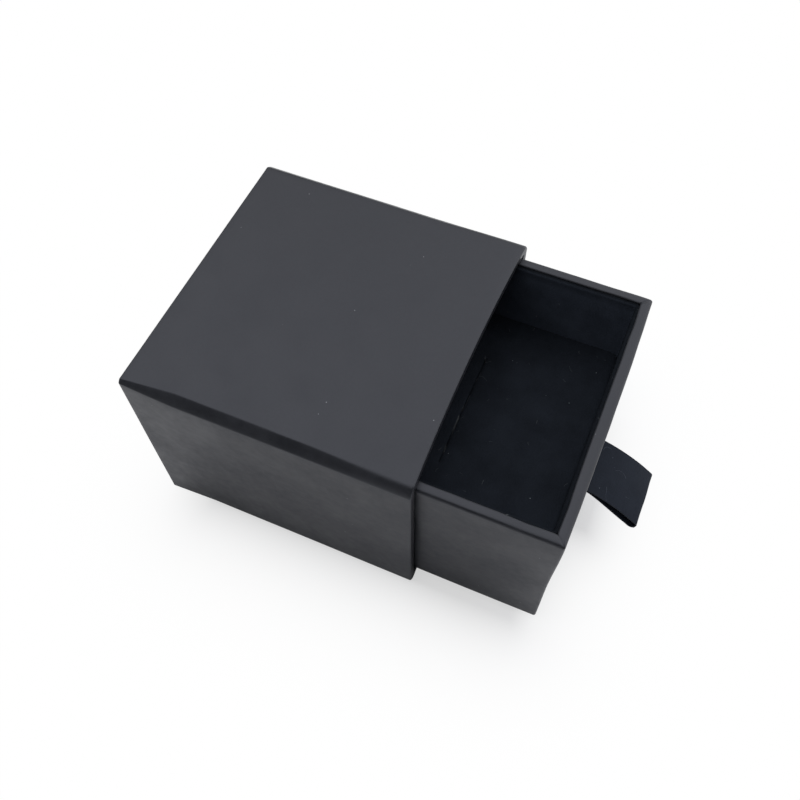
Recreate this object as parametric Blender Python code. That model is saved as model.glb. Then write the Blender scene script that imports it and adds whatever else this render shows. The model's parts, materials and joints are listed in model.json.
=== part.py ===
"""Sliding drawer gift box: a paper-covered board sleeve and a drawer with a velvet insert.

Metres, +Z up. The sleeve's mouth faces -Y and the origin is the centre of its base. The drawer
stands DRAWER_SHOWN_OUT out of the sleeve, and its ribbon loop hangs from a slot in its front.
Lengths named ..._inset are measured inwards from the outermost face of the sleeve or the drawer.
"""
import math

import bmesh
import bpy

# Sleeve, outside sizes
SLEEVE_WIDTH = 0.0750
SLEEVE_HEIGHT = 0.0560
SLEEVE_DEPTH = 0.0716

# Sleeve's scored long edges: a flatter run across the corner, with a crease at each end
SLEEVE_FOLD_REACH = 0.0026
SLEEVE_CREASE_RADIUS = 0.0009

# Sheet materials
PAPER = 0.00015
SLEEVE_BOARD = 0.0020
DRAWER_BOARD = 0.0012
VELVET = 0.0007
STAY_TAPE = 0.0001
GLUE_GAP = 0.0001

# Sleeve paper
SLEEVE_TURN_IN = 0.0120
SLEEVE_BACK_TURN = 0.0120
WRAP_JOINT_GAP = 0.0010
SHEET_MARGIN = 0.0010
SHEET_CORNER_RADIUS = 0.0012

# Drawer in the sleeve
DRAWER_SIDE_CLEARANCE = 0.0008
DRAWER_TOP_CLEARANCE = 0.00055
DRAWER_RUNNING_GAP = 0.0003
DRAWER_STOP_GAP = 0.0003
DRAWER_SHOWN_OUT = 0.0337

# Drawer tray
TRAY_FOLD_RADIUS = 0.0013
RIM_OUTER_RADIUS = 0.0007
RIM_INNER_RADIUS = 0.0003
DRAWER_TURN_IN = 0.0140
STAY_LEG = 0.0100
STAY_END_MARGIN = 0.0030

# Velvet lining and foam insert
LINING_TOP_DROP = 0.0005
LINING_TUCK = 0.0060
LINING_CORNER_RADIUS = 0.0012
INSERT_DEPTH = 0.0212
INSERT_CLEARANCE = 0.0003
INSERT_EDGE_RADIUS = 0.0016
INSERT_CORNER_RADIUS = 0.0022
INSERT_CROWN = 0.0005
INSERT_SKIRT = 0.0080
RING_SLIT_LENGTH = 0.0330
RING_SLIT_WIDTH = 0.0008
RING_SLIT_LIP = 0.0003

# Ribbon pull
RIBBON_WIDTH = 0.0150
RIBBON_THICKNESS = 0.00035
RIBBON_REACH = 0.0160
RIBBON_LOOP_HEIGHT = 0.0024
RIBBON_HINGE_OFFSET = 0.0008
RIBBON_TAIL_LENGTH = 0.0120
RIBBON_BEND_RADIUS = 0.0006
SLOT_SIDE_CLEARANCE = 0.0005
SLOT_HEIGHT = 0.0016
TAPE_WIDTH = 0.0220
TAPE_HEIGHT = 0.0080
TAPE_DROP = 0.0030
TAPE_CORNER_RADIUS = 0.0010
NOTCH_CLEARANCE = 0.0005
CUT_OVERRUN = 0.0010

# Shares and angles
SLOT_HEIGHT_SHARE = 0.49
RIBBON_START_ANGLE = math.radians(21.0)
RIBBON_END_ANGLE = math.radians(41.0)
CREASE_ANGLE = math.radians(34.0)
SMOOTH_ANGLE = math.radians(32.0)
QUARTER_TURN = math.radians(90.0)
HALF_TURN = math.radians(180.0)

# Steps of the round forms
CREASE_STEPS = 3
FLAT_STEPS = 2
ROLL_STEPS = 6
EDGE_STEPS = 4
CORNER_STEPS = 3
CROWN_STEPS = 7
RIBBON_STEPS = 14
TIP_STEPS = 8

# Sleeve, worked out
SLEEVE_WALL = PAPER + GLUE_GAP + SLEEVE_BOARD + GLUE_GAP + PAPER
SLEEVE_BOARD_INSET = PAPER + GLUE_GAP
MOUTH_Y = -SLEEVE_DEPTH / 2
BACK_Y = SLEEVE_DEPTH / 2
TUBE_BOTTOM_Z = PAPER + GLUE_GAP
TUBE_HEIGHT = SLEEVE_HEIGHT - TUBE_BOTTOM_Z
TUBE_CENTRE_Z = TUBE_BOTTOM_Z + TUBE_HEIGHT / 2
BOARD_MOUTH_Y = MOUTH_Y + SLEEVE_BOARD_INSET
BOARD_BACK_Y = BACK_Y - 2 * SLEEVE_BOARD_INSET
BACK_BOARD_FRONT_Y = BOARD_BACK_Y - SLEEVE_BOARD
STOP_Y = BACK_BOARD_FRONT_Y - GLUE_GAP - PAPER

# Drawer, worked out
WRAP_STANDOFF = STAY_TAPE + 2 * GLUE_GAP
WALL_INSET = PAPER + WRAP_STANDOFF
RIM_WIDTH = WALL_INSET + DRAWER_BOARD + GLUE_GAP + PAPER
TRAY_Z = PAPER + GLUE_GAP
DRAWER_WIDTH = SLEEVE_WIDTH - 2 * (SLEEVE_WALL + DRAWER_SIDE_CLEARANCE)
DRAWER_LENGTH = STOP_Y - MOUTH_Y - DRAWER_STOP_GAP
DRAWER_HEIGHT = TUBE_HEIGHT - 2 * SLEEVE_WALL - DRAWER_RUNNING_GAP - DRAWER_TOP_CLEARANCE
DRAWER_Z = TUBE_BOTTOM_Z + SLEEVE_WALL + DRAWER_RUNNING_GAP
DRAWER_FRONT_Y = MOUTH_Y - DRAWER_SHOWN_OUT
DRAWER_CORNER_RADIUS = WALL_INSET + GLUE_GAP
WALL_HEIGHT = DRAWER_HEIGHT - TRAY_Z - PAPER - GLUE_GAP
FLOOR_Z = TRAY_Z + DRAWER_BOARD + GLUE_GAP + PAPER
WALL_INNER_INSET = WALL_INSET + DRAWER_BOARD
LINING_INSET = RIM_WIDTH + GLUE_GAP
COVER_INSET = LINING_INSET + VELVET + INSERT_CLEARANCE
FOAM_INSET = COVER_INSET + VELVET + GLUE_GAP
INSERT_FACE_Z = DRAWER_HEIGHT - INSERT_DEPTH
FOAM_TOP_Z = INSERT_FACE_Z - VELVET - GLUE_GAP
SLOT_Z = DRAWER_HEIGHT * SLOT_HEIGHT_SHARE
TAIL_THICKNESS = 2 * RIBBON_THICKNESS + GLUE_GAP
TAIL_INSET = WALL_INNER_INSET + GLUE_GAP + TAIL_THICKNESS / 2
TAPE_INSET = TAIL_INSET + TAIL_THICKNESS / 2 + GLUE_GAP


# Outlines

def arc(centre, radius, start, end, steps):
    """Points on an arc, both ends included."""
    angles = [start + (end - start) * i / steps for i in range(steps + 1)]
    return [(centre[0] + radius * math.cos(a), centre[1] + radius * math.sin(a)) for a in angles]


def rounded_rectangle(half_u, half_v, radius, steps):
    """A closed ring, anticlockwise from the lower right corner."""
    u, v = half_u - radius, half_v - radius
    ring = []
    for turn, centre in enumerate([(u, -v), (u, v), (-u, v), (-u, -v)]):
        start = (turn - 1) * QUARTER_TURN
        ring += arc(centre, radius, start, start + QUARTER_TURN, steps)
    return ring


def fold_path(points, radii, steps):
    """The path with each inner point rounded to its radius; the folds are right angles."""
    path = [points[0]]
    for before, here, after, radius in zip(points, points[1:], points[2:], radii):
        into = unit(before, here)
        out = unit(here, after)
        centre = [here[k] + radius * (out[k] - into[k]) for k in (0, 1)]
        for i in range(steps + 1):
            a = QUARTER_TURN * i / steps
            path.append(tuple(
                centre[k] - radius * math.cos(a) * out[k] + radius * math.sin(a) * into[k]
                for k in (0, 1)
            ))
    path.append(points[-1])
    return path


def unit(start, end):
    """The direction from start to end."""
    length = math.dist(start, end)
    return ((end[0] - start[0]) / length, (end[1] - start[1]) / length)


def two_sides(path, thickness):
    """The two faces of a sheet whose middle runs along the path."""
    left, right = [], []
    for i, point in enumerate(path):
        before = unit(path[i - 1], point) if i else unit(point, path[i + 1])
        after = unit(point, path[i + 1]) if i + 1 < len(path) else before
        normal = (-before[1] - after[1], before[0] + after[0])
        scale = thickness / (normal[0] ** 2 + normal[1] ** 2)
        left.append((point[0] + normal[0] * scale, point[1] + normal[1] * scale))
        right.append((point[0] - normal[0] * scale, point[1] - normal[1] * scale))
    return left, right


def sheet_outline(path, thickness):
    """The closed outline of a sheet whose middle runs along the path."""
    left, right = two_sides(path, thickness)
    return left + right[::-1]


# Meshes and objects

def grid_mesh(name, rows, rows_closed=False, columns_closed=True):
    """A closed body from rows of points; whichever way isn't closed is capped at its ends."""
    mesh = bpy.data.meshes.new(name)
    body = bmesh.new()
    grid = [[body.verts.new(point) for point in row] for row in rows]
    row_count, column_count = len(grid), len(grid[0])
    for i in range(row_count if rows_closed else row_count - 1):
        for j in range(column_count if columns_closed else column_count - 1):
            a, b = grid[i], grid[(i + 1) % row_count]
            k = (j + 1) % column_count
            body.faces.new((a[j], a[k], b[k], b[j]))
    if not rows_closed:
        body.faces.new(grid[0][::-1])
        body.faces.new(grid[-1])
    if not columns_closed:
        body.faces.new([row[0] for row in grid])
        body.faces.new([row[-1] for row in grid][::-1])
    bmesh.ops.recalc_face_normals(body, faces=body.faces)
    body.to_mesh(mesh)
    body.free()
    mesh.shade_smooth()
    mesh.set_sharp_from_angle(angle=SMOOTH_ANGLE)
    return mesh


def extruded_mesh(name, outline, length):
    """An outline in local X and Z, drawn out along +Y."""
    return grid_mesh(name, [[(u, y, v) for u, v in outline] for y in (0, length)])


def plate_mesh(name, half_u, half_v, radius, thickness):
    """A sheet with rounded corners, lying in X and Y, its underside at Z = 0."""
    ring = rounded_rectangle(half_u, half_v, radius, CORNER_STEPS)
    return grid_mesh(name, [[(u, v, z) for u, v in ring] for z in (0, thickness)])


def plan_ring(inset, corner_radius, z):
    """A ring round the drawer at an inset, in the drawer's own frame."""
    ring = rounded_rectangle(
        DRAWER_WIDTH / 2 - inset,
        DRAWER_LENGTH / 2 - inset,
        max(corner_radius, GLUE_GAP),
        CORNER_STEPS,
    )
    return [(u, v + DRAWER_LENGTH / 2, z) for u, v in ring]


def new_material(name, colour, roughness):
    """A plain surface of one colour."""
    material = bpy.data.materials.new(name)
    material.use_nodes = True
    shader = material.node_tree.nodes["Principled BSDF"]
    shader.inputs["Base Color"].default_value = (*colour, 1.0)
    shader.inputs["Roughness"].default_value = roughness
    shader.inputs["Metallic"].default_value = 0.0
    material.diffuse_color = (*colour, 1.0)
    return material


def add_object(name, mesh, material, parent, location=(0, 0, 0), rotation=(0, 0, 0)):
    """An object under its body's empty."""
    piece = bpy.data.objects.new(name, mesh)
    bpy.context.scene.collection.objects.link(piece)
    mesh.materials.append(material)
    piece.parent = parent
    piece.location = location
    piece.rotation_euler = rotation
    return piece


def add_empty(name, location, parent=None):
    """The frame that a body's pieces are placed in."""
    empty = bpy.data.objects.new(name, None)
    bpy.context.scene.collection.objects.link(empty)
    empty.parent = parent
    empty.location = location
    return empty


def cut_with(piece, cutter):
    """Takes the cutter's volume out of the piece."""
    cutter.hide_render = True
    cutter.display_type = "WIRE"
    modifier = piece.modifiers.new(cutter.name, "BOOLEAN")
    modifier.operation = "DIFFERENCE"
    modifier.solver = "EXACT"
    modifier.object = cutter


# Sleeve boards

def scored_fold(inset):
    """A long edge's section at an inset, from (reach, 0) on its side to (0, reach) on its top."""
    reach = max(SLEEVE_FOLD_REACH - inset, GLUE_GAP)
    crease = max(min(SLEEVE_CREASE_RADIUS - inset, reach), GLUE_GAP)
    low, high = CREASE_ANGLE, QUARTER_TURN - CREASE_ANGLE
    flat_share = math.cos(low) - math.sin(low)
    flat = (reach - crease * (1 - flat_share)) / flat_share
    middle = (crease - flat) * math.sin(low)
    side_crease = arc((reach - crease, 0), crease, 0, low, CREASE_STEPS)
    flat_run = arc((middle, middle), flat, low, high, FLAT_STEPS)
    top_crease = arc((0, reach - crease), crease, high, QUARTER_TURN, CREASE_STEPS)
    return side_crease + flat_run[1:] + top_crease[1:]


def sleeve_panel_outline(half_span):
    """A tube panel's section, its outer face at v = 0, with half a fold on each mitred edge."""
    half = half_span - GLUE_GAP * math.sqrt(0.5)
    fold = scored_fold(SLEEVE_BOARD_INSET)
    reach = fold[0][0]
    right_edge = [(half - reach + u, v - reach) for u, v in fold[len(fold) // 2:]]
    outline = [(half - SLEEVE_BOARD, -SLEEVE_BOARD)] + right_edge
    return outline + [(-u, v) for u, v in reversed(outline)]


def add_sleeve_boards(sleeve, greyboard):
    """Four mitred panels round the tube, and the back panel that closes it."""
    half_width = SLEEVE_WIDTH / 2 - SLEEVE_BOARD_INSET
    half_height = TUBE_HEIGHT / 2 - SLEEVE_BOARD_INSET
    length = BOARD_BACK_Y - BOARD_MOUTH_Y
    panels = [
        ("sleeve_top_board", half_width, half_height, 0),
        ("sleeve_right_board", half_height, half_width, 1),
        ("sleeve_bottom_board", half_width, half_height, 2),
        ("sleeve_left_board", half_height, half_width, 3),
    ]
    for name, half_span, reach, turns in panels:
        angle = turns * QUARTER_TURN
        mesh = extruded_mesh(name, sleeve_panel_outline(half_span), length)
        place = (reach * math.sin(angle), BOARD_MOUTH_Y, TUBE_CENTRE_Z + reach * math.cos(angle))
        add_object(name, mesh, greyboard, sleeve, place, (0, angle, 0))

    inset = SLEEVE_BOARD_INSET + SLEEVE_BOARD + GLUE_GAP
    back = plate_mesh(
        "sleeve_back_board",
        SLEEVE_WIDTH / 2 - inset,
        TUBE_HEIGHT / 2 - inset,
        GLUE_GAP,
        SLEEVE_BOARD,
    )
    place = (0, BOARD_BACK_Y, TUBE_CENTRE_Z)
    add_object("sleeve_back_board", back, greyboard, sleeve, place, (QUARTER_TURN, 0, 0))


# Sleeve paper

def sleeve_path(inset, y):
    """A ring round the tube at an inset, open at the wrap's joint under the base."""
    fold = scored_fold(inset)
    reach = fold[0][0]
    bottom = inset - TUBE_HEIGHT / 2
    u, v = SLEEVE_WIDTH / 2 - inset - reach, -bottom - reach
    ring = [(WRAP_JOINT_GAP / 2, bottom)]
    for turn, centre in enumerate([(u, -v), (u, v), (-u, v), (-u, -v)]):
        angle = (turn - 1) * QUARTER_TURN
        across, along = math.cos(angle), math.sin(angle)
        ring += [
            (centre[0] + a * across - b * along, centre[1] + a * along + b * across)
            for a, b in fold
        ]
    ring.append((-WRAP_JOINT_GAP / 2, bottom))
    return [(point_u, y, point_v + TUBE_CENTRE_Z) for point_u, point_v in ring]


def add_sleeve_wrap(sleeve, paper):
    """The outer paper, folded over the back edges and turned in round the mouth."""
    back_y = BACK_Y - SLEEVE_BOARD_INSET - PAPER / 2
    mouth_y = MOUTH_Y + PAPER / 2
    fold = 3 * GLUE_GAP + PAPER / 2
    middle = fold_path(
        [
            (SLEEVE_BACK_TURN, back_y),
            (PAPER / 2, back_y),
            (PAPER / 2, mouth_y),
            (SLEEVE_WALL - PAPER / 2, mouth_y),
            (SLEEVE_WALL - PAPER / 2, MOUTH_Y + SLEEVE_TURN_IN),
        ],
        [fold, fold, fold],
        EDGE_STEPS,
    )
    rows = [sleeve_path(inset, y) for inset, y in sheet_outline(middle, PAPER)]
    mesh = grid_mesh("sleeve_wrap", rows, rows_closed=True, columns_closed=False)
    add_object("sleeve_wrap", mesh, paper, sleeve)


def add_sleeve_sheets(sleeve, paper):
    """The flat sheets: over the base joint, over the back, and on the inside of the back."""
    base = plate_mesh(
        "sleeve_base_sheet",
        SLEEVE_WIDTH / 2 - SLEEVE_FOLD_REACH,
        SLEEVE_DEPTH / 2 - SHEET_MARGIN,
        SHEET_CORNER_RADIUS,
        PAPER,
    )
    add_object("sleeve_base_sheet", base, paper, sleeve)
    upright = (QUARTER_TURN, 0, 0)
    back = plate_mesh(
        "sleeve_back_sheet",
        SLEEVE_WIDTH / 2 - SHEET_MARGIN,
        TUBE_HEIGHT / 2 - SHEET_MARGIN,
        SHEET_CORNER_RADIUS,
        PAPER,
    )
    place = (0, BACK_Y, TUBE_CENTRE_Z)
    add_object("sleeve_back_sheet", back, paper, sleeve, place, upright)
    inset = SLEEVE_WALL + GLUE_GAP
    lining = plate_mesh(
        "sleeve_back_lining",
        SLEEVE_WIDTH / 2 - inset,
        TUBE_HEIGHT / 2 - inset,
        GLUE_GAP,
        PAPER,
    )
    place = (0, STOP_Y + PAPER, TUBE_CENTRE_Z)
    add_object("sleeve_back_lining", lining, paper, sleeve, place, upright)


def add_sleeve_lining(sleeve, paper):
    """The paper tube inside, from the turned-in edge to the back panel."""
    front_y = MOUTH_Y + SLEEVE_TURN_IN + GLUE_GAP
    back_y = BACK_BOARD_FRONT_Y - GLUE_GAP
    outer, inner = SLEEVE_WALL - PAPER, SLEEVE_WALL
    rows = []
    for inset, y in [(outer, front_y), (outer, back_y), (inner, back_y), (inner, front_y)]:
        ring = rounded_rectangle(
            SLEEVE_WIDTH / 2 - inset, TUBE_HEIGHT / 2 - inset, GLUE_GAP, CORNER_STEPS
        )
        rows.append([(u, y, v + TUBE_CENTRE_Z) for u, v in ring])
    mesh = grid_mesh("sleeve_lining", rows, rows_closed=True)
    add_object("sleeve_lining", mesh, paper, sleeve)


# Drawer boards

def wall_outline():
    """A wall's section: u inwards from its outer face, mitred at the foot, rounded at the rim."""
    foot = GLUE_GAP * math.sqrt(0.5)
    outer_foot = arc(
        (TRAY_FOLD_RADIUS, TRAY_FOLD_RADIUS + foot),
        TRAY_FOLD_RADIUS,
        HALF_TURN,
        HALF_TURN + QUARTER_TURN / 2,
        EDGE_STEPS,
    )
    outer_rim = arc(
        (RIM_OUTER_RADIUS, WALL_HEIGHT - RIM_OUTER_RADIUS),
        RIM_OUTER_RADIUS,
        QUARTER_TURN,
        HALF_TURN,
        EDGE_STEPS,
    )
    inner_rim = arc(
        (DRAWER_BOARD - RIM_INNER_RADIUS, WALL_HEIGHT - RIM_INNER_RADIUS),
        RIM_INNER_RADIUS,
        0,
        QUARTER_TURN,
        EDGE_STEPS,
    )
    return [(DRAWER_BOARD, DRAWER_BOARD + foot)] + inner_rim + outer_rim + outer_foot


def add_drawer_boards(drawer, greyboard):
    """The tray: side walls over its full length, front and back walls between them."""
    half_width = DRAWER_WIDTH / 2 - WALL_INSET
    front_y, back_y = WALL_INSET, DRAWER_LENGTH - WALL_INSET
    side_length = back_y - front_y
    end_half = half_width - DRAWER_BOARD - GLUE_GAP
    outline = wall_outline()
    walls = [
        ("drawer_left_board", side_length, (-half_width, front_y, TRAY_Z), 0),
        ("drawer_right_board", side_length, (half_width, back_y, TRAY_Z), 2),
        ("drawer_front_board", 2 * end_half, (end_half, front_y, TRAY_Z), 1),
        ("drawer_back_board", 2 * end_half, (-end_half, back_y, TRAY_Z), -1),
    ]
    boards = {}
    for name, length, place, turns in walls:
        mesh = extruded_mesh(name, outline, length)
        rotation = (0, 0, turns * QUARTER_TURN)
        boards[name] = add_object(name, mesh, greyboard, drawer, place, rotation)

    shift = GLUE_GAP * math.sqrt(0.5)
    foot = arc((0, 0), TRAY_FOLD_RADIUS, 0, QUARTER_TURN / 2, EDGE_STEPS)
    edge = [(TRAY_FOLD_RADIUS - y, TRAY_FOLD_RADIUS - x) for x, y in foot]
    edge.append((DRAWER_BOARD, DRAWER_BOARD))
    rows = [plan_ring(WALL_INSET + shift + inset, 0, TRAY_Z + z) for inset, z in edge]
    mesh = grid_mesh("drawer_bottom_board", rows)
    add_object("drawer_bottom_board", mesh, greyboard, drawer)
    return boards


def add_corner_stays(drawer, tape):
    """Gummed paper folded round each upright corner, between the boards and the wrap."""
    inset = PAPER + GLUE_GAP + STAY_TAPE / 2
    radius = DRAWER_CORNER_RADIUS - inset
    middle = fold_path([(STAY_LEG, 0), (0, 0), (0, STAY_LEG)], [radius], CORNER_STEPS)
    outline = sheet_outline(middle, STAY_TAPE)
    low = TRAY_Z + TRAY_FOLD_RADIUS + STAY_END_MARGIN
    high = TRAY_Z + WALL_HEIGHT - RIM_OUTER_RADIUS - STAY_END_MARGIN
    x = DRAWER_WIDTH / 2 - inset
    near, far = inset, DRAWER_LENGTH - inset
    places = [(-x, near), (x, near), (x, far), (-x, far)]
    for number, (place_x, place_y) in enumerate(places):
        name = f"drawer_corner_stay_{number + 1}"
        mesh = grid_mesh(name, [[(u, v, z) for u, v in outline] for z in (0, high - low)])
        rotation = (0, 0, number * QUARTER_TURN)
        add_object(name, mesh, tape, drawer, (place_x, place_y, low), rotation)


# Drawer paper

def add_drawer_wrap(drawer, paper):
    """The outer paper: under the tray, up the walls, over the rims and down inside."""
    low, high = PAPER / 2, DRAWER_HEIGHT - PAPER / 2
    over_board = GLUE_GAP + PAPER / 2
    folds = [radius + over_board for radius in (TRAY_FOLD_RADIUS, RIM_OUTER_RADIUS, RIM_INNER_RADIUS)]
    middle = fold_path(
        [
            (2 * folds[0], low),
            (PAPER / 2, low),
            (PAPER / 2, high),
            (RIM_WIDTH - PAPER / 2, high),
            (RIM_WIDTH - PAPER / 2, DRAWER_HEIGHT - DRAWER_TURN_IN),
        ],
        folds,
        EDGE_STEPS,
    )
    outline = sheet_outline(middle, PAPER)
    rows = [plan_ring(inset, DRAWER_CORNER_RADIUS - inset, z) for inset, z in outline]
    return add_object("drawer_wrap", grid_mesh("drawer_wrap", rows), paper, drawer)


def add_floor_paper(drawer, paper):
    """The paper on the tray's floor, under the insert."""
    inset = WALL_INNER_INSET + GLUE_GAP
    mesh = plate_mesh(
        "drawer_floor_paper",
        DRAWER_WIDTH / 2 - inset,
        DRAWER_LENGTH / 2 - inset,
        GLUE_GAP,
        PAPER,
    )
    place = (0, DRAWER_LENGTH / 2, FLOOR_Z - PAPER)
    add_object("drawer_floor_paper", mesh, paper, drawer, place)


# Velvet and foam

def add_velvet_lining(drawer, velvet):
    """The velvet band round the walls, from just under the rim to behind the insert."""
    top = DRAWER_HEIGHT - LINING_TOP_DROP
    bottom = INSERT_FACE_Z - LINING_TUCK
    half = VELVET / 2
    rim = arc((LINING_INSET + half, top - half), half, HALF_TURN, 0, ROLL_STEPS)
    outline = [(LINING_INSET, bottom)] + rim + [(LINING_INSET + VELVET, bottom)]
    rows = []
    for inset, z in outline:
        radius = LINING_CORNER_RADIUS + LINING_INSET + VELVET - inset
        rows.append(plan_ring(inset, radius, z))
    mesh = grid_mesh("drawer_velvet_lining", rows, rows_closed=True)
    return add_object("drawer_velvet_lining", mesh, velvet, drawer)


def cover_face_ring(share, z):
    """A ring on the insert's face, from its rounded edge at 0 to the slit's lips at 1."""
    start = COVER_INSET + INSERT_EDGE_RADIUS
    corner = max(INSERT_CORNER_RADIUS - INSERT_EDGE_RADIUS, GLUE_GAP)
    edge = (DRAWER_WIDTH / 2 - start, DRAWER_LENGTH / 2 - start, corner)
    slit = (RING_SLIT_LENGTH / 2, RING_SLIT_WIDTH / 2, RING_SLIT_WIDTH / 2)
    half_u, half_v, radius = [a + (b - a) * share for a, b in zip(edge, slit)]
    ring = rounded_rectangle(half_u, half_v, radius, CORNER_STEPS)
    return [(u, v + DRAWER_LENGTH / 2, z) for u, v in ring]


def cover_side_ring(inset, z):
    """A ring round the insert's rounded edge and its sides."""
    return plan_ring(inset, INSERT_CORNER_RADIUS + COVER_INSET - inset, z)


def add_insert_cover(drawer, velvet):
    """The crowned velvet cover: sides, rounded edge, and a face that closes in on the slit."""
    skirt_z = INSERT_FACE_Z - INSERT_SKIRT
    centre = (COVER_INSET + INSERT_EDGE_RADIUS, INSERT_FACE_Z - INSERT_EDGE_RADIUS)
    crown_shares = [i / CROWN_STEPS for i in range(1, CROWN_STEPS)]
    face = [(share, INSERT_CROWN * math.sin(share * QUARTER_TURN)) for share in crown_shares]
    face.append((1, INSERT_CROWN - RING_SLIT_LIP))
    rows = [cover_side_ring(COVER_INSET, skirt_z)]
    for inset, z in arc(centre, INSERT_EDGE_RADIUS, HALF_TURN, QUARTER_TURN, EDGE_STEPS):
        rows.append(cover_side_ring(inset, z))
    rows += [cover_face_ring(share, INSERT_FACE_Z + rise) for share, rise in face]
    rows += [cover_face_ring(share, INSERT_FACE_Z - VELVET + rise) for share, rise in reversed(face)]
    inner_radius = INSERT_EDGE_RADIUS - VELVET
    for inset, z in arc(centre, inner_radius, QUARTER_TURN, HALF_TURN, EDGE_STEPS):
        rows.append(cover_side_ring(inset, z))
    rows.append(cover_side_ring(COVER_INSET + VELVET, skirt_z))
    mesh = grid_mesh("insert_velvet_cover", rows, rows_closed=True)
    add_object("insert_velvet_cover", mesh, velvet, drawer)


def add_foam(drawer, foam):
    """Two foam blocks side by side, the ring slit between them."""
    half_x = DRAWER_WIDTH / 2 - FOAM_INSET
    near_y = FOAM_INSET
    middle_y = DRAWER_LENGTH / 2
    half_y = (middle_y - RING_SLIT_WIDTH / 2 - near_y) / 2
    bottom = FLOOR_Z + GLUE_GAP
    radius = INSERT_EDGE_RADIUS - VELVET
    corner = INSERT_CORNER_RADIUS - VELVET - GLUE_GAP
    for name, side in (("insert_foam_front", -1), ("insert_foam_back", 1)):
        place = (0, middle_y + side * (RING_SLIT_WIDTH / 2 + half_y), bottom)
        edge = arc((0, FOAM_TOP_Z - bottom - radius), radius, 0, QUARTER_TURN, EDGE_STEPS)
        sections = [(0, 0)] + [(radius - reach, z) for reach, z in edge]
        rows = []
        for inset, z in sections:
            bend = max(corner - inset, GLUE_GAP)
            ring = rounded_rectangle(half_x - inset, half_y - inset, bend, CORNER_STEPS)
            rows.append([(u, v, z) for u, v in ring])
        add_object(name, grid_mesh(name, rows), foam, drawer, place)


# Ribbon

def ribbon_middle():
    """The folded ribbon's middle line in local Y and Z, from the hinge out and back below."""
    step = RIBBON_REACH / RIBBON_STEPS
    root_half = TAIL_THICKNESS / 2 - RIBBON_THICKNESS / 2
    tip_half = RIBBON_LOOP_HEIGHT / 2 - RIBBON_THICKNESS / 2
    y, z = 0.0, 0.0
    upper, lower = [], []
    for i in range(RIBBON_STEPS + 1):
        share = i / RIBBON_STEPS
        droop = RIBBON_START_ANGLE + (RIBBON_END_ANGLE - RIBBON_START_ANGLE) * share
        half = root_half + (tip_half - root_half) * math.sin(share * QUARTER_TURN)
        across = (-math.sin(droop), math.cos(droop))
        upper.append((y + half * across[0], z + half * across[1]))
        lower.append((y - half * across[0], z - half * across[1]))
        last = (y, z)
        y -= step * math.cos(droop)
        z -= step * math.sin(droop)
    start = QUARTER_TURN + RIBBON_END_ANGLE
    tip = arc(last, tip_half, start, start + HALF_TURN, TIP_STEPS)
    return upper[:-1] + tip + lower[-2::-1]


def add_ribbon(drawer, satin, tape):
    """The loop on its hinge line, its two ends behind the front wall, and their tape."""
    hinge_y = -RIBBON_HINGE_OFFSET
    outline = sheet_outline(ribbon_middle(), RIBBON_THICKNESS)
    rows = [[(x, u, v) for u, v in outline] for x in (-RIBBON_WIDTH / 2, RIBBON_WIDTH / 2)]
    mesh = grid_mesh("pull_ribbon", rows)
    add_object("pull_ribbon", mesh, satin, drawer, (0, hinge_y, SLOT_Z))

    start_y = hinge_y + TAIL_THICKNESS / 2 + GLUE_GAP
    middle = fold_path(
        [(start_y, SLOT_Z), (TAIL_INSET, SLOT_Z), (TAIL_INSET, SLOT_Z - RIBBON_TAIL_LENGTH)],
        [RIBBON_BEND_RADIUS],
        EDGE_STEPS,
    )
    outline = sheet_outline(middle, TAIL_THICKNESS)
    rows = [[(x, u, v) for u, v in outline] for x in (-RIBBON_WIDTH / 2, RIBBON_WIDTH / 2)]
    add_object("ribbon_tail", grid_mesh("ribbon_tail", rows), satin, drawer)

    mesh = plate_mesh(
        "ribbon_anchor_tape", TAPE_WIDTH / 2, TAPE_HEIGHT / 2, TAPE_CORNER_RADIUS, STAY_TAPE
    )
    place = (0, TAPE_INSET + STAY_TAPE, SLOT_Z - TAPE_DROP - TAPE_HEIGHT / 2)
    add_object("ribbon_anchor_tape", mesh, tape, drawer, place, (QUARTER_TURN, 0, 0))


def cut_ribbon_slot(drawer, front_board, wrap):
    """The slot through the front wall and its paper."""
    half_width = RIBBON_WIDTH / 2 + SLOT_SIDE_CLEARANCE
    outline = rounded_rectangle(half_width, SLOT_HEIGHT / 2, SLOT_HEIGHT / 2, CORNER_STEPS)
    mesh = extruded_mesh("slot_cutter", outline, WALL_INNER_INSET + 2 * CUT_OVERRUN)
    cutter = add_object(
        "slot_cutter", mesh, wrap.data.materials[0], drawer, (0, -CUT_OVERRUN, SLOT_Z)
    )
    cut_with(front_board, cutter)
    cut_with(wrap, cutter)


def notch_lining(drawer, lining):
    """The lining is cut away round the ribbon's ends and their tape."""
    top = SLOT_Z + SLOT_HEIGHT / 2 + NOTCH_CLEARANCE
    bottom = min(INSERT_FACE_Z - LINING_TUCK, top) - CUT_OVERRUN
    half_width = TAPE_WIDTH / 2 + NOTCH_CLEARANCE
    half_height = (top - bottom) / 2
    outline = rounded_rectangle(half_width, half_height, TAPE_CORNER_RADIUS, CORNER_STEPS)
    mesh = extruded_mesh("notch_cutter", outline, VELVET + 2 * CUT_OVERRUN)
    place = (0, LINING_INSET - CUT_OVERRUN, top - half_height)
    cutter = add_object("notch_cutter", mesh, lining.data.materials[0], drawer, place)
    cut_with(lining, cutter)


def clear_scene():
    """Starts from an empty scene."""
    for piece in list(bpy.data.objects):
        bpy.data.objects.remove(piece, do_unlink=True)


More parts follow.
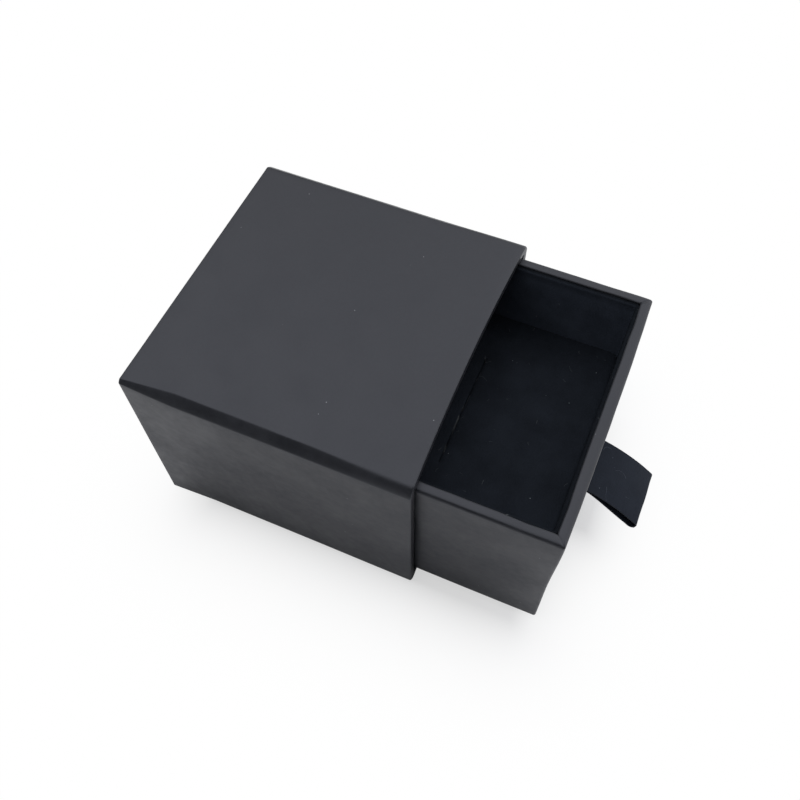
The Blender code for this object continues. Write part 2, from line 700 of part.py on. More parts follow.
def build():
    """Makes the whole box."""
    clear_scene()
    greyboard = new_material("greyboard", (0.30, 0.28, 0.25), 0.90)
    paper = new_material("black_paper", (0.022, 0.022, 0.026), 0.55)
    tape = new_material("kraft_tape", (0.36, 0.26, 0.16), 0.80)
    velvet = new_material("black_velvet", (0.006, 0.007, 0.009), 0.95)
    foam = new_material("black_foam", (0.02, 0.02, 0.02), 0.95)
    satin = new_material("black_satin", (0.012, 0.014, 0.018), 0.45)

    sleeve = add_empty("sleeve", (0, 0, 0))
    add_sleeve_boards(sleeve, greyboard)
    add_sleeve_wrap(sleeve, paper)
    add_sleeve_sheets(sleeve, paper)
    add_sleeve_lining(sleeve, paper)

    drawer = add_empty("drawer", (0, DRAWER_FRONT_Y, DRAWER_Z), sleeve)
    boards = add_drawer_boards(drawer, greyboard)
    add_corner_stays(drawer, tape)
    wrap = add_drawer_wrap(drawer, paper)
    add_floor_paper(drawer, paper)
    lining = add_velvet_lining(drawer, velvet)
    add_insert_cover(drawer, velvet)
    add_foam(drawer, foam)
    add_ribbon(drawer, satin, tape)
    cut_ribbon_slot(drawer, boards["drawer_front_board"], wrap)
    notch_lining(drawer, lining)


build()
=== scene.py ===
"""The looks of the sliding drawer gift box: black paper, velvet, foam and a satin ribbon."""

import json
import math

import bmesh
import bpy
from mathutils import Matrix, Vector, noise


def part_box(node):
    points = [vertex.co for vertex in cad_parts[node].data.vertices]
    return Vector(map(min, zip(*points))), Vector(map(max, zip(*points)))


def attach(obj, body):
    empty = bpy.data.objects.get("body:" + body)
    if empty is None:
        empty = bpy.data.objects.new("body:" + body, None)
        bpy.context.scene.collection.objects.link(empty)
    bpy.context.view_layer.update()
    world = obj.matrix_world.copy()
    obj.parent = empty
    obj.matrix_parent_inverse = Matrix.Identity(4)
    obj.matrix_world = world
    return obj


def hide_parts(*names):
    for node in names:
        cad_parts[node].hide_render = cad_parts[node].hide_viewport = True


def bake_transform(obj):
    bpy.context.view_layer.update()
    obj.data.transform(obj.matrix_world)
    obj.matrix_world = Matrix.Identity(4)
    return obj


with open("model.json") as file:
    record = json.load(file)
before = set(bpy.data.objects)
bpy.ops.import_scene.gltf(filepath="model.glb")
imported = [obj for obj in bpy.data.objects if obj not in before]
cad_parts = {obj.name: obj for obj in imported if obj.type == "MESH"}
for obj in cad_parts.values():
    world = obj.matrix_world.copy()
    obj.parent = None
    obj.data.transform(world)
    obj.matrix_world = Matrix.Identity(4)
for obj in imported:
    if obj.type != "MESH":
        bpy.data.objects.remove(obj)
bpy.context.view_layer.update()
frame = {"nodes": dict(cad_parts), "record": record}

MM = 0.001
QUARTER_TURN = math.pi / 2
NOISE_SEED = 7

# The photograph's camera
PHOTO_PIXELS = 800
FOCAL_PIXELS = 868.0
PRINCIPAL_PIXEL = (399.7, 400.6)
SENSOR_WIDTH = 36.0
CAMERA_TARGET = (-2.1 * MM, -18.6 * MM, 28.0 * MM)
CAMERA_DISTANCE = 225.5 * MM
CAMERA_AZIMUTH = math.radians(-65.59)
CAMERA_ELEVATION = math.radians(59.35)
CAMERA_ROLL = math.radians(-1.23)
CAMERA_NEAR = 2 * MM
CAMERA_FAR = 20.0

# Light
FLOOR_RADIUS = 4.0
FLOOR_STEPS = 96
FLOOR_COLOUR = (0.81, 0.82, 0.86)
FLOOR_ROUGHNESS = 0.9
FLOOR_SPECULAR = 0.2

# Shades on the floor: a rectangle's centre and half size, the distance that halves them, the depth
BOX_SHADOW = ((0.0, -21.0 * MM), (36.0 * MM, 43.0 * MM), 7.0 * MM, 0.42)
RIBBON_SHADOW = ((0.0, -73.0 * MM), (5.0 * MM, 1.5 * MM), 3.5 * MM, 0.42)
FLOOR_SHADE = ((0.0, -14.0 * MM), (36.0 * MM, 36.0 * MM), 15.0 * MM, 0.38)
MIRROR_SHADE = ((0.0, -14.0 * MM), (36.0 * MM, 36.0 * MM), 55.0 * MM, 0.96)

# Soft lights: each stop is a cosine from the light's axis and the level there
SKY_AXIS = (0.15, 0.34, 0.93)
SKY_STOPS = ((0.0, 0.12), (0.58, 0.15), (0.72, 0.28), (0.88, 1.8), (0.97, 2.4))
FRONT_AXIS = (0.70, -0.62, 0.35)
FRONT_STOPS = ((0.52, 0.0), (0.85, 1.8))

# Sheet materials
PAPER = 0.15 * MM
VELVET = 0.7 * MM
RIBBON = 0.35 * MM
GLUE_GAP = 0.1 * MM

# Finishes: each has a dark and a light tone
PAPER_TONES = ((0.0110, 0.0117, 0.0142), (0.0190, 0.0202, 0.0242))
PAPER_DUST = (0.20, 0.21, 0.23)
PAPER_ROUGHNESS = (0.33, 0.45)
PAPER_ROUGHNESS_SPREAD = 0.035
PAPER_SPECULAR = 0.35
PAPER_TINT = (0.81, 0.84, 0.96)
VELVET_TONES = ((0.0082, 0.0100, 0.0140), (0.0130, 0.0158, 0.0220))
VELVET_SCUFF = (0.070, 0.077, 0.083)
VELVET_DUST = (0.17, 0.19, 0.21)
VELVET_LINT = (0.060, 0.066, 0.070)
VELVET_ROUGHNESS = 0.9
VELVET_SPECULAR = 0.02
VELVET_SHEEN = 0.02
VELVET_SHEEN_ROUGHNESS = 0.7
VELVET_TINT = (0.75, 0.88, 1.0)
VELVET_LEAN = (0, 0, 0.8)
SATIN_TONES = ((0.0062, 0.0080, 0.0138), (0.0104, 0.0134, 0.0218))
SATIN_DUST = (0.20, 0.23, 0.28)
SATIN_THREAD = (0.06, 0.07, 0.09)
SATIN_ROUGHNESS = 0.6
SATIN_SPECULAR = 0.12
SATIN_TINT = (0.75, 0.86, 1.0)
GREYBOARD_TONES = ((0.22, 0.205, 0.18), (0.34, 0.32, 0.285))
KRAFT_TONES = ((0.30, 0.20, 0.12), (0.42, 0.30, 0.19))
FOAM_TONES = ((0.010, 0.010, 0.011), (0.035, 0.035, 0.037))

# Sleeve paper
SLEEVE_LOW, SLEEVE_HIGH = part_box("sleeve_wrap")
SLEEVE_FOLD = 2.6 * MM
SLEEVE_BACK_FOLD = 1.0 * MM
SLEEVE_PINCH = 14.0 * MM
SLEEVE_WALL = 2.5 * MM
SLEEVE_EDGE_FOLD = 0.38 * MM
SLEEVE_TURN = 12.0 * MM
SLEEVE_STANDOFF = 0.04 * MM
WRAP_JOINT_GAP = 0.12 * MM
MOUTH_FLARE = 1.0 * MM
MOUTH_FLARE_REACH = 12.0 * MM
FOLD_ANGLES = (math.radians(36), math.radians(54))
FOLD_STEPS = 22
FOLD_FINENESS = 8
FOLD_LOW_TURN = 0.12
FOLD_HIGH_TURN_CRISP = 0.13
FOLD_HIGH_TURN_SOFT = 0.44
FOLD_SOFTENS = (2 * MM, 24 * MM)
BASE_STEPS = 26
SIDE_STEPS = 44
TOP_STEPS = 60
SLEEVE_STEP = 1.2 * MM
EDGE_FOLD_STEPS = 6

# Unevenness: each wave is the distance between its crests, its height and its place in the noise
SLEEVE_WAVES = ((24 * MM, 0.05 * MM, 3.1), (5.5 * MM, 0.014 * MM, 8.4))
VELVET_WAVES = ((9 * MM, 0.06 * MM, 2.2), (2.6 * MM, 0.03 * MM, 6.6))
DRAWER_WAVE = (22 * MM, 0.07 * MM, 5.7)
RIM_WAVE_SIZE = 7 * MM
RIM_WAVE_HEIGHTS = (0.015, 0.06)
RIM_WAVE_SEED = 1.9
RIM_WAVE_REACH = 12 * MM
RIBBON_WAVE = (5 * MM, 0.10 * MM, 4.4)

# Drawer paper
DRAWER_LOW, DRAWER_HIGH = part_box("drawer_wrap")
DRAWER_HALF = (DRAWER_HIGH - DRAWER_LOW) / 2
DRAWER_MIDDLE = (DRAWER_HIGH + DRAWER_LOW) / 2
DRAWER_CORNER = 0.55 * MM
DRAWER_FOLDS = (1.475 * MM, 0.875 * MM, 0.475 * MM)
DRAWER_RIM = 1.9 * MM
DRAWER_TURN_IN = 14.0 * MM
SIDE_BOW = 0.55 * MM
FRONT_BOW = 0.90 * MM
BOW_START = 24.0 * MM
BOW_BACK_REACH = 16 * MM
BOW_CORNER_SHARE = 0.62
OUTER_LAYER = (0.5 * MM, 1.5 * MM)
RIM_TILT = 0.16
RIM_SWELL = -0.14 * MM
CORNER_SWELL = 0.18 * MM
MITRE_DEPTH = 0.14 * MM
MITRE_WIDTH = 0.22 * MM
RIM_DEPTHS = (0.9 * MM, 0.2 * MM)
RIM_LIMIT = (3 * MM, 4 * MM)
RIM_START = 0.5 * MM
CORNER_REACH = (1 * MM, 15 * MM)
CORNER_STEPS = 4
DRAWER_STEP = 1.4 * MM
DRAWER_FOLD_STEPS = 8
DRAWER_RING_STEPS = 72
DRAWER_CROWDING = 0.88
SLOT_WIDTH = 16.0 * MM
SLOT_HEIGHT = 1.6 * MM
NOTCH_WIDTH = 23.0 * MM
NOTCH_CLEARANCE = 0.5 * MM
CUT_OVERRUN = 1.0 * MM
CUT_CORNER_STEPS = 5
RING_STEPS = 56

# Velvet and foam
LINING_CORNER = 0.4 * MM
LINING_TOP_DROP = 0.9 * MM
# Painted light: velvet faces that look towards -X are painted lighter, up to the gain
PAINTED_LIGHT_FACING = (-1.0, 0.0, 0.0)
PAINTED_LIGHT_GAIN = 3.4
PAINTED_LIGHT_START = 0.55
# Painted shade: the velvet band is painted darker near its top, under the rims
RIM_PAINTED_SHADE_TONE = 0.5
RIM_PAINTED_SHADE_DEPTHS = (3 * MM, 0.6 * MM)
LINING_STEP = 1.2 * MM
PAD_EDGE = 0.9 * MM
PAD_SWELL = 0.35 * MM
PAD_CORNER = 2.2 * MM
PAD_CROWN = 0.5 * MM
PAD_CROWN_RISE = 1.15
PAD_RINGS = 26
FOAM_EDGE = 0.9 * MM
FOAM_EDGE_STEPS = 5
FOAM_RING_STEPS = 20
ROUND_STEPS = 8
SLIT_LENGTH = 33.0 * MM
SLIT_WIDTH = 0.3 * MM
SLIT_DEPTH = 1.6 * MM
SLIT_LIPS = ((0.985, 0.08), (1, 0.35), (1, 1.0))

# Ribbon
RIBBON_REACH = 16.0 * MM
RIBBON_LOOP_HEIGHT = 2.4 * MM
RIBBON_HINGE_OFFSET = 0.8 * MM
RIBBON_START_ANGLE = math.radians(21.0)
RIBBON_END_ANGLE = math.radians(41.0)
RIBBON_MEAN_ANGLE = (RIBBON_START_ANGLE + RIBBON_END_ANGLE) / 2
RIBBON_BEND = 0.6 * MM
RIBBON_BEND_STEPS = 6
RIBBON_STEPS = 30
RIBBON_TIP_STEPS = 10
RIBBON_COLUMNS = 24
RIBBON_STEP = 0.7 * MM
RIBBON_HALF_WIDTH = 7.5 * MM
EDGE_DROOP = 0.30 * MM
NEAR_CORNER_DROOP = 0.25 * MM
LOWER_PLY_HANG = 0.8 * MM
LOWER_PLY_FULL = 1.25
LOWER_PLY_TURN = 0.72


# Small tools

def unit(start, end):
    """The direction from start to end in a plane."""
    length = math.dist(start, end)
    return ((end[0] - start[0]) / length, (end[1] - start[1]) / length)


def arc(centre, radius, start, end, steps):
    """Points on an arc, both ends included."""
    angles = [start + (end - start) * i / steps for i in range(steps + 1)]
    return [(centre[0] + radius * math.cos(a), centre[1] + radius * math.sin(a)) for a in angles]


def fold_path(points, radii, steps):
    """The path with each inner point rounded to its radius; the folds are right angles."""
    path = [points[0]]
    for before, here, after, radius in zip(points, points[1:], points[2:], radii):
        into = unit(before, here)
        out = unit(here, after)
        centre = [here[k] + radius * (out[k] - into[k]) for k in (0, 1)]
        for i in range(steps + 1):
            a = QUARTER_TURN * i / steps
            path.append(tuple(
                centre[k] - radius * math.cos(a) * out[k] + radius * math.sin(a) * into[k]
                for k in (0, 1)
            ))
    path.append(points[-1])
    return path


def divided(path, longest):
    """The path with points added so that no step is longer than the given one."""
    fine = [path[0]]
    for here, there in zip(path, path[1:]):
        count = max(1, math.ceil(math.dist(here, there) / longest))
        for i in range(1, count + 1):
            fine.append(tuple(a + (b - a) * i / count for a, b in zip(here, there)))
    return fine


def two_sides(path, thickness):
    """The two faces of a sheet whose middle runs along the path."""
    left, right = [], []
    for i, point in enumerate(path):
        before = unit(path[i - 1], point) if i else unit(point, path[i + 1])
        after = unit(point, path[i + 1]) if i + 1 < len(path) else before
        normal = (-before[1] - after[1], before[0] + after[0])
        scale = thickness / (normal[0] ** 2 + normal[1] ** 2)
        left.append((point[0] + normal[0] * scale, point[1] + normal[1] * scale))
        right.append((point[0] - normal[0] * scale, point[1] - normal[1] * scale))
    return left, right


def sheet_outline(path, thickness):
    """The closed outline of a sheet whose middle runs along the path."""
    left, right = two_sides(path, thickness)
    return left + right[::-1]


def smooth_step(low, high, value):
    """0 below low, 1 above high, and a smooth rise between."""
    share = min(max((value - low) / (high - low), 0.0), 1.0)
    return share * share * (3 - 2 * share)


def mixed(a, b, share):
    """The value that lies a share of the way from a to b."""
    return a + (b - a) * share


def wobble(point, size, height, seed):
    """A smooth random shift of a point by one wave."""
    return noise.noise_vector(Vector(point) / size + Vector((seed, seed, seed))) * height


def grid_mesh(name, rows, rows_closed=False, columns_closed=True, shift=None):
    """A closed body from rows of points; whichever way isn't closed is capped at its ends."""
    row_count, column_count = len(rows), len(rows[0])
    points = [Vector(point) for row in rows for point in row]
    if shift:
        points = [point + shift(point) for point in points]
    faces = []
    for i in range(row_count if rows_closed else row_count - 1):
        low, high = i * column_count, (i + 1) % row_count * column_count
        for j in range(column_count if columns_closed else column_count - 1):
            k = (j + 1) % column_count
            faces.append((low + j, low + k, high + k, high + j))
    last = (row_count - 1) * column_count
    if not rows_closed:
        faces.append(tuple(range(column_count))[::-1])
        faces.append(tuple(last + j for j in range(column_count)))
    if not columns_closed:
        faces.append(tuple(i * column_count for i in range(row_count)))
        faces.append(tuple(i * column_count + column_count - 1 for i in range(row_count))[::-1])
    mesh = bpy.data.meshes.new(name)
    mesh.from_pydata(points, [], faces)
    mesh.shade_smooth()
    return mesh


def faces_outwards(mesh):
    """Turns every face of a closed mesh so that it looks out."""
    body = bmesh.new()
    body.from_mesh(mesh)
    bmesh.ops.recalc_face_normals(body, faces=body.faces)
    body.to_mesh(mesh)
    body.free()


def add_piece(name, mesh, material, body, replaced=(), sharp_angle=40):
    """A piece of the object that rides on a body."""
    faces_outwards(mesh)
    mesh.set_sharp_from_angle(angle=math.radians(sharp_angle))
    mesh.materials.append(material)
    piece = bpy.data.objects.new(name, mesh)
    bpy.context.scene.collection.objects.link(piece)
    if body:
        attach(piece, body)
    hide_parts(*replaced)
    return piece


# Camera

def add_camera():
    """The photograph's view."""
    azimuth, elevation = CAMERA_AZIMUTH, CAMERA_ELEVATION
    back = Vector((
        math.sin(azimuth) * math.cos(elevation),
        -math.cos(azimuth) * math.cos(elevation),
        math.sin(elevation),
    ))
    level = Vector((math.cos(azimuth), math.sin(azimuth), 0))
    upright = back.cross(level)
    right = level * math.cos(CAMERA_ROLL) + upright * math.sin(CAMERA_ROLL)
    up = back.cross(right)
    data = bpy.data.cameras.new("photo_camera")
    data.sensor_width = SENSOR_WIDTH
    data.lens = FOCAL_PIXELS / PHOTO_PIXELS * SENSOR_WIDTH
    data.shift_x = -(PRINCIPAL_PIXEL[0] - PHOTO_PIXELS / 2) / PHOTO_PIXELS
    data.shift_y = (PRINCIPAL_PIXEL[1] - PHOTO_PIXELS / 2) / PHOTO_PIXELS
    data.clip_start = CAMERA_NEAR
    data.clip_end = CAMERA_FAR
    camera = bpy.data.objects.new("photo_camera", data)
    bpy.context.scene.collection.objects.link(camera)
    place = Vector(CAMERA_TARGET) + back * CAMERA_DISTANCE
    turn = Matrix((right, up, back)).transposed().to_4x4()
    camera.matrix_world = Matrix.Translation(place) @ turn
    bpy.context.scene.camera = camera


# Materials

def new_material(name):
    """An empty material: its node tree, its Principled shader and its coordinates."""
    material = bpy.data.materials.new(name)
    material.use_nodes = True
    tree = material.node_tree
    shader = tree.nodes["Principled BSDF"]
    place = tree.nodes.new("ShaderNodeTexCoord").outputs["Object"]
    return material, tree, shader, place


def add_noise(tree, place, size, detail=2.0, stretch=(1, 1, 1)):
    """Noise whose lumps are about size apart."""
    mapping = tree.nodes.new("ShaderNodeMapping")
    mapping.inputs["Scale"].default_value = [s / size for s in stretch]
    tree.links.new(place, mapping.inputs["Vector"])
    texture = tree.nodes.new("ShaderNodeTexNoise")
    texture.inputs["Scale"].default_value = 1.0
    texture.inputs["Detail"].default_value = detail
    tree.links.new(mapping.outputs["Vector"], texture.inputs["Vector"])
    return texture.outputs["Fac"]


def add_range(tree, value, low, high, to_low, to_high):
    """The value stretched from one range to another, and held inside it."""
    node = tree.nodes.new("ShaderNodeMapRange")
    node.inputs["From Min"].default_value = low
    node.inputs["From Max"].default_value = high
    node.inputs["To Min"].default_value = to_low
    node.inputs["To Max"].default_value = to_high
    tree.links.new(value, node.inputs["Value"])
    return node.outputs["Result"]


def add_math(tree, operation, a, b):
    """The outcome of one operation on two values, each a socket or a number."""
    node = tree.nodes.new("ShaderNodeMath")
    node.operation = operation
    for socket, value in zip(node.inputs, (a, b)):
        if isinstance(value, (int, float)):
            socket.default_value = value
        else:
            tree.links.new(value, socket)
    return node.outputs["Value"]


def add_sum(tree, *parts):
    """The sum of some values, each with its weight."""
    total = None
    for value, weight in parts:
        part = add_math(tree, "MULTIPLY", value, weight)
        total = add_math(tree, "ADD", total, part) if total else part
    return total


def add_mix(tree, share, a, b):
    """A colour mixed from two by a share; each is a socket or a colour."""
    node = tree.nodes.new("ShaderNodeMix")
    node.data_type = "RGBA"
    tree.links.new(share, node.inputs[0])
    for socket, value in ((node.inputs[6], a), (node.inputs[7], b)):
        if isinstance(value, tuple):
            socket.default_value = (*value, 1.0)
        else:
            tree.links.new(value, socket)
    return node.outputs[2]


def add_bump(tree, shader, heights, lean=None):
    """Bumps one on the other: each is a height and its depth in metres; lean tilts the pile."""
    normal = None
    if lean:
        tilt = tree.nodes.new("ShaderNodeVectorMath")
        tilt.operation = "ADD"
        tilt.inputs[1].default_value = lean
        tree.links.new(tree.nodes.new("ShaderNodeNewGeometry").outputs["Normal"], tilt.inputs[0])
        level = tree.nodes.new("ShaderNodeVectorMath")
        level.operation = "NORMALIZE"
        tree.links.new(tilt.outputs[0], level.inputs[0])
        normal = level.outputs[0]
    for height, depth in heights:
        bump = tree.nodes.new("ShaderNodeBump")
        bump.inputs["Strength"].default_value = 1.0
        bump.inputs["Distance"].default_value = depth
        tree.links.new(height, bump.inputs["Height"])
        if normal:
            tree.links.new(normal, bump.inputs["Normal"])
        normal = bump.outputs["Normal"]
    tree.links.new(normal, shader.inputs["Normal"])


def add_specks(tree, place, spacing, radius):
    """1 in small round specks scattered through space, and 0 elsewhere."""
    mapping = tree.nodes.new("ShaderNodeMapping")
    mapping.inputs["Scale"].default_value = [1 / spacing] * 3
    tree.links.new(place, mapping.inputs["Vector"])
    cells = tree.nodes.new("ShaderNodeTexVoronoi")
    cells.inputs["Scale"].default_value = 1.0
    tree.links.new(mapping.outputs["Vector"], cells.inputs["Vector"])
    edge = radius / spacing
    return add_range(tree, cells.outputs["Distance"], edge * 0.6, edge, 1.0, 0.0)


def add_hairs(tree, place, size, width, cover):
    """1 on short curved hairlines scattered through space, and 0 elsewhere."""
    lines = add_math(tree, "SUBTRACT", add_noise(tree, place, size, 0.0), 0.5)
    lines = add_range(tree, add_math(tree, "ABSOLUTE", lines, 0.0), width * 0.5, width, 1.0, 0.0)
    patches = add_range(tree, add_noise(tree, place, size * 0.8, 0.0), cover, cover + 0.01, 0.0, 1.0)
    return add_math(tree, "MULTIPLY", lines, patches)


def black_paper():
    """Satin black paper with a faint grain, soft mottling and specks of dust."""
    material, tree, shader, place = new_material("black_paper_finish")
    blotch = add_noise(tree, place, 11 * MM, 2.0)
    mottle = add_noise(tree, place, 1.9 * MM, 3.0)
    grain = add_noise(tree, place, 0.42 * MM, 2.0)
    fibre = add_noise(tree, place, 1.1 * MM, 2.0, (1, 0.35, 1))
    tone = add_range(
        tree, add_sum(tree, (blotch, 0.4), (mottle, 0.35), (grain, 0.25)), 0.3, 0.7, 0.0, 1.0
    )
    colour = add_mix(tree, tone, *PAPER_TONES)
    specks = add_specks(tree, place, 5.2 * MM, 0.15 * MM)
    colour = add_mix(tree, specks, colour, PAPER_DUST)
    tree.links.new(colour, shader.inputs["Base Color"])
    rough = add_range(tree, blotch, 0.3, 0.7, *PAPER_ROUGHNESS)
    spread = add_range(tree, mottle, 0.3, 0.7, -PAPER_ROUGHNESS_SPREAD, PAPER_ROUGHNESS_SPREAD)
    tree.links.new(add_math(tree, "ADD", rough, spread), shader.inputs["Roughness"])
    shader.inputs["Specular IOR Level"].default_value = PAPER_SPECULAR
    shader.inputs["Specular Tint"].default_value = (*PAPER_TINT, 1.0)
    add_bump(tree, shader, [(fibre, 0.009 * MM), (grain, 0.010 * MM)])
    return material


def black_velvet():
    """Short black pile that leans up towards the light, with lint caught in it."""
    material, tree, shader, place = new_material("black_velvet_finish")
    blotch = add_noise(tree, place, 7 * MM, 3.0)
    pile = add_noise(tree, place, 0.35 * MM, 2.0)
    tone = add_range(tree, add_sum(tree, (blotch, 0.6), (pile, 0.4)), 0.35, 0.65, 0.0, 1.0)
    colour = add_mix(tree, tone, *VELVET_TONES)
    # Painted light: the walls that look towards -X are painted lighter
    # Painted shade: the lining's top is painted darker under the rims
    colour = add_painted_light_and_shade(tree, place, colour)
    scuffs = add_slit_scuffs(tree, place)
    colour = add_mix(tree, scuffs, colour, VELVET_SCUFF)
    specks = add_specks(tree, place, 3.9 * MM, 0.14 * MM)
    colour = add_mix(tree, specks, colour, VELVET_DUST)
    hairs = add_hairs(tree, place, 3.6 * MM, 0.006, 0.73)
    colour = add_mix(tree, hairs, colour, VELVET_LINT)
    tree.links.new(colour, shader.inputs["Base Color"])
    shader.inputs["Roughness"].default_value = VELVET_ROUGHNESS
    shader.inputs["Specular IOR Level"].default_value = VELVET_SPECULAR
    shader.inputs["Sheen Weight"].default_value = VELVET_SHEEN
    shader.inputs["Sheen Roughness"].default_value = VELVET_SHEEN_ROUGHNESS
    shader.inputs["Sheen Tint"].default_value = (*VELVET_TINT, 1.0)
    add_bump(tree, shader, [(pile, 0.09 * MM)], lean=VELVET_LEAN)
    return material


def add_painted_light_and_shade(tree, place, colour):
    """Painted light and shade on the velvet: the faces that look towards -X are painted lighter, as
    if better lit.

    Painted shade: the band is painted darker near its top, where it runs in under the rims.
    """
    lean = tree.nodes.new("ShaderNodeVectorMath")
    lean.operation = "DOT_PRODUCT"
    lean.inputs[1].default_value = PAINTED_LIGHT_FACING
    tree.links.new(tree.nodes.new("ShaderNodeNewGeometry").outputs["Normal"], lean.inputs[0])
    gain = tree.nodes.new("ShaderNodeVectorMath")
    gain.operation = "SCALE"
    tree.links.new(colour, gain.inputs[0])
    parts = tree.nodes.new("ShaderNodeSeparateXYZ")
    tree.links.new(place, parts.inputs[0])
    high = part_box("drawer_velvet_lining")[1].z
    start, end = (high - depth for depth in RIM_PAINTED_SHADE_DEPTHS)
    # Painted shade under the rims
    rim_painted_shade = add_range(tree, parts.outputs["Z"], start, end, 1.0, RIM_PAINTED_SHADE_TONE)
    # Painted light: the faces that look towards -X are made lighter
    painted_light = add_range(tree, lean.outputs["Value"], PAINTED_LIGHT_START, 1.0, 1.0, PAINTED_LIGHT_GAIN)
    tree.links.new(add_math(tree, "MULTIPLY", painted_light, rim_painted_shade), gain.inputs["Scale"])
    return gain.outputs["Vector"]


def add_slit_scuffs(tree, place):
    """1 on the ruffled pile along the ring slit, in broken strokes, and 0 elsewhere."""
    low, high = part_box("insert_velvet_cover")
    centre = (low + high) / 2
    apart = tree.nodes.new("ShaderNodeVectorMath")
    apart.operation = "SUBTRACT"
    apart.inputs[1].default_value = centre
    tree.links.new(place, apart.inputs[0])
    parts = tree.nodes.new("ShaderNodeSeparateXYZ")
    tree.links.new(apart.outputs[0], parts.inputs[0])
    drift = add_range(tree, add_noise(tree, place, 5 * MM, 0.0), 0.0, 1.0, -0.5 * MM, 0.5 * MM)
    across = add_math(tree, "ABSOLUTE", add_math(tree, "ADD", parts.outputs["Y"], drift), 0.0)
    along = add_math(tree, "ABSOLUTE", parts.outputs["X"], 0.0)
    near = add_range(tree, across, 0.06 * MM, 0.22 * MM, 1.0, 0.0)
    inside = add_range(tree, along, SLIT_LENGTH / 2, SLIT_LENGTH / 2 + 0.6 * MM, 1.0, 0.0)
    strokes = add_noise(tree, place, 3.0 * MM, 2.0, (1, 0.3, 0.3))
    strokes = add_range(tree, strokes, 0.50, 0.56, 0.0, 1.0)
    return add_math(tree, "MULTIPLY", add_math(tree, "MULTIPLY", near, inside), strokes)


def black_satin():
    """Ribbon: fine ribs across its width, a soft blue sheen and a few loose threads."""
    material, tree, shader, place = new_material("black_satin_finish")
    blotch = add_noise(tree, place, 4 * MM, 2.0)
    colour = add_mix(tree, blotch, *SATIN_TONES)
    specks = add_specks(tree, place, 3.2 * MM, 0.11 * MM)
    colour = add_mix(tree, specks, colour, SATIN_DUST)
    hairs = add_hairs(tree, place, 4.6 * MM, 0.004, 0.66)
    colour = add_mix(tree, hairs, colour, SATIN_THREAD)
    tree.links.new(colour, shader.inputs["Base Color"])
    shader.inputs["Roughness"].default_value = SATIN_ROUGHNESS
    shader.inputs["Specular IOR Level"].default_value = SATIN_SPECULAR
    shader.inputs["Specular Tint"].default_value = (*SATIN_TINT, 1.0)
    warp = add_noise(tree, place, 0.22 * MM, 1.0, (1, 0.15, 0.15))
    weft = add_noise(tree, place, 0.30 * MM, 1.0, (0.1, 1, 1))
    add_bump(tree, shader, [(warp, 0.025 * MM), (weft, 0.035 * MM)])
    return material


def plain_finish(name, size, detail, stretch, tones, roughness, depth):
    """A matt finish: one noise gives its tones and its bumps."""
    material, tree, shader, place = new_material(name)
    grain = add_noise(tree, place, size, detail, stretch)
    tree.links.new(add_mix(tree, grain, *tones), shader.inputs["Base Color"])
    shader.inputs["Roughness"].default_value = roughness
    add_bump(tree, shader, [(grain, depth)])
    return material


def greyboard():
    """Grey recycled board with darker flecks."""
    return plain_finish(
        "greyboard_finish", 0.8 * MM, 4.0, (1, 1, 1), GREYBOARD_TONES, 0.92, 0.03 * MM
    )


def kraft_tape():
    """Brown gummed paper with long fibres."""
    return plain_finish(
        "kraft_tape_finish", 0.9 * MM, 3.0, (1, 1, 0.3), KRAFT_TONES, 0.75, 0.02 * MM
    )


def black_foam():
    """Open-cell foam."""
    return plain_finish(
        "black_foam_finish", 0.5 * MM, 2.0, (1, 1, 1), FOAM_TONES, 0.95, 0.15 * MM
    )


# Sleeve

def fold_profile(low_turn, high_turn):
    """A unit corner from its side (0, 0) to its top (1, 1): two turns with a flatter run between."""
    low_angle, high_angle = FOLD_ANGLES
    points, x, z = [(0.0, 0.0)], 0.0, 0.0
    fine = FOLD_STEPS * FOLD_FINENESS
    for i in range(fine):
        share = (i + 0.5) / fine
        if share < low_turn:
            angle = low_angle * share / low_turn
        elif share > 1 - high_turn:
            angle = mixed(high_angle, QUARTER_TURN, (share - 1 + high_turn) / high_turn)
        else:
            flat = (share - low_turn) / (1 - low_turn - high_turn)
            angle = mixed(low_angle, high_angle, flat)
        x += math.sin(angle) / fine
        z += math.cos(angle) / fine
        if (i + 1) % FOLD_FINENESS == 0:
            points.append((x, z))
    return [(px / x, pz / z) for px, pz in points]


def sleeve_ring(low, high, inset, y, left_reach, right_reach, profile):
    """A ring round the sleeve at an inset, open at the wrap's joint under the base."""
    half = (high.x - low.x) / 2 + SLEEVE_STANDOFF - inset
    top, bottom = high.z + SLEEVE_STANDOFF - inset, low.z + inset
    left, right = max(left_reach - inset, GLUE_GAP), max(right_reach - inset, GLUE_GAP)
    right_top = [(half - right * u, top - right * (1 - v)) for u, v in profile]
    right_bottom = [(half - right * u, bottom + right * (1 - v)) for u, v in reversed(profile)]
    left_top = [(left * u - half, top - left * (1 - v)) for u, v in reversed(profile)]
    left_bottom = [(left * u - half, bottom + left * (1 - v)) for u, v in profile]
    joint = WRAP_JOINT_GAP / 2
    runs = [
        ((joint, bottom), right_bottom[0], BASE_STEPS),
        (right_bottom[-1], right_top[0], SIDE_STEPS),
        (right_top[-1], left_top[0], TOP_STEPS),
        (left_top[-1], left_bottom[0], SIDE_STEPS),
        (left_bottom[-1], (-joint, bottom), BASE_STEPS),
    ]
    folds = [right_bottom, right_top, left_top, left_bottom, []]
    ring = []
    for (start, end, count), folded in zip(runs, folds):
        straight = [
            (mixed(start[0], end[0], i / count), mixed(start[1], end[1], i / count))
            for i in range(count)
        ]
        ring += straight + folded[:-1]
    ring.append((-joint, bottom))
    return [(x, y, z) for x, z in ring]


